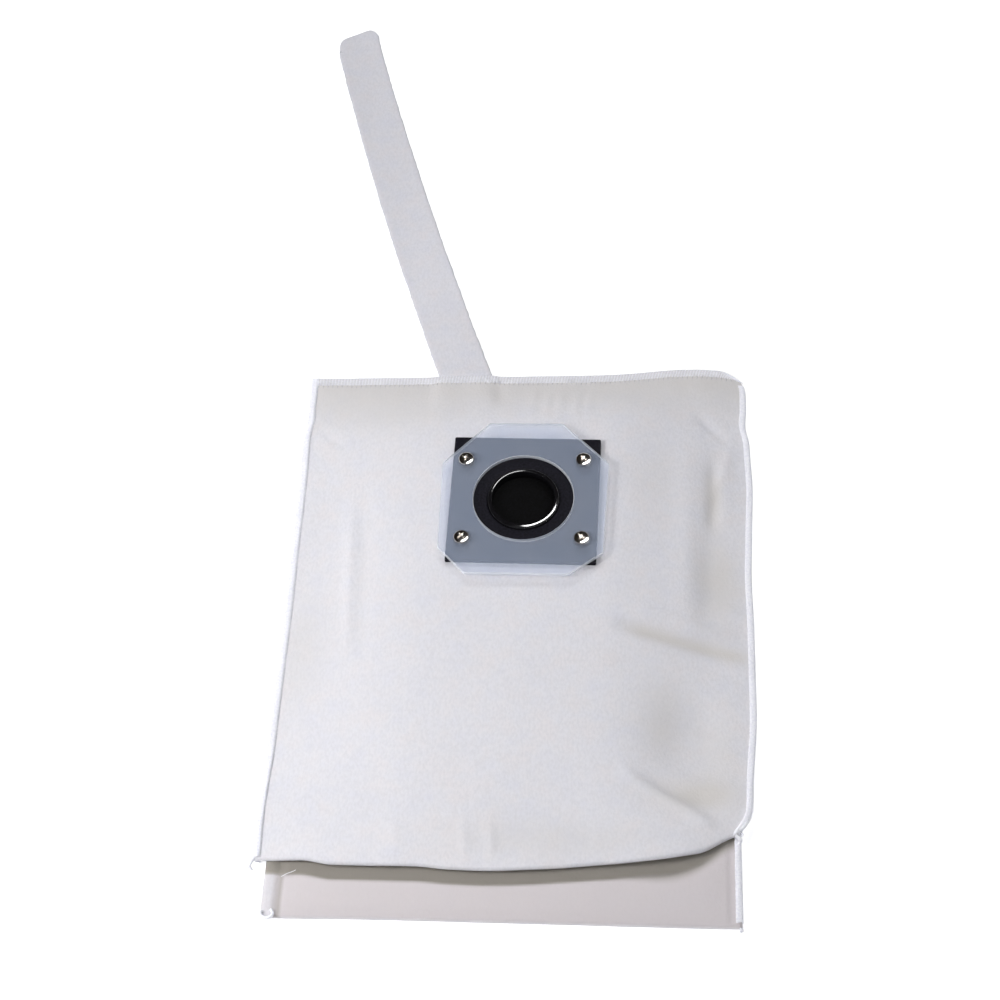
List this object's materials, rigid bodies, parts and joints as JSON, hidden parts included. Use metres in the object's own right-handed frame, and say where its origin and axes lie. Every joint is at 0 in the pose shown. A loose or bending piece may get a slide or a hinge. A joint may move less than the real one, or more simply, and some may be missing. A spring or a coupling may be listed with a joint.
{
  "type": "dust collector bag",
  "caption": "Reusable cloth dust collector bag with a folded gusset, a screwed inlet flange with a rubber lip and valve flap, and a sewn strap.",
  "frame": {"origin": "centre of the inlet, at the level of the seal sheet's outer face", "axes": "+Z out of the inlet, away from the bag's back; +Y towards the top seam and the strap; +X across the bag"},
  "size_m": [0.3201, 0.756, 0.0237],
  "materials": {
    "felt": "needle felt, matt",
    "thread": "polyester thread",
    "frosted_plastic": "frosted, translucent",
    "inner_plastic": "moulded, matt",
    "black_rubber": "matt",
    "lip_rubber": "glossy",
    "screw_steel": "bright",
    "zinc_steel": "zinc plated"
  },
  "bodies": {
    "bag": {"back_cloth": "felt", "seam_left": "thread", "seam_right": "thread", "seam_top": "thread", "thread_tails": "thread", "strap_root": "felt"},
    "front": {"front_cloth": "felt", "flange_plate": "frosted_plastic", "seal_sheet": "black_rubber", "lip_ring": "lip_rubber", "clamp_plate": "inner_plastic", "flap_tab": "black_rubber", "screw_1": "screw_steel", "screw_2": "screw_steel", "screw_3": "screw_steel", "screw_4": "screw_steel", "washer_1": "zinc_steel", "washer_2": "zinc_steel", "washer_3": "zinc_steel", "washer_4": "zinc_steel", "nut_1": "zinc_steel", "nut_2": "zinc_steel", "nut_3": "zinc_steel", "nut_4": "zinc_steel"},
    "flap": {"valve_flap": "black_rubber"},
    "strap": {"strap": "felt"}
  },
  "joints": [
    {"name": "bag_fill", "type": "slide", "parent": "bag", "child": "front", "axis": [0, 0, 1], "range_m": [0, 0.04]},
    {"name": "flap_open", "type": "hinge", "parent": "front", "child": "flap", "pos_m": [0, 0.02704, -0.0053], "axis": [1, 0, 0], "range_deg": [0, 60]},
    {"name": "strap_fold", "type": "hinge", "parent": "bag", "child": "strap", "pos_m": [-0.044, 0.116, -0.0167], "axis": [1, 0, 0], "range_deg": [0, 90]}
  ],
  "couplings": [
    {"joint": "flap_open", "follows": "bag_fill", "rad_per_m": 25}
  ]
}
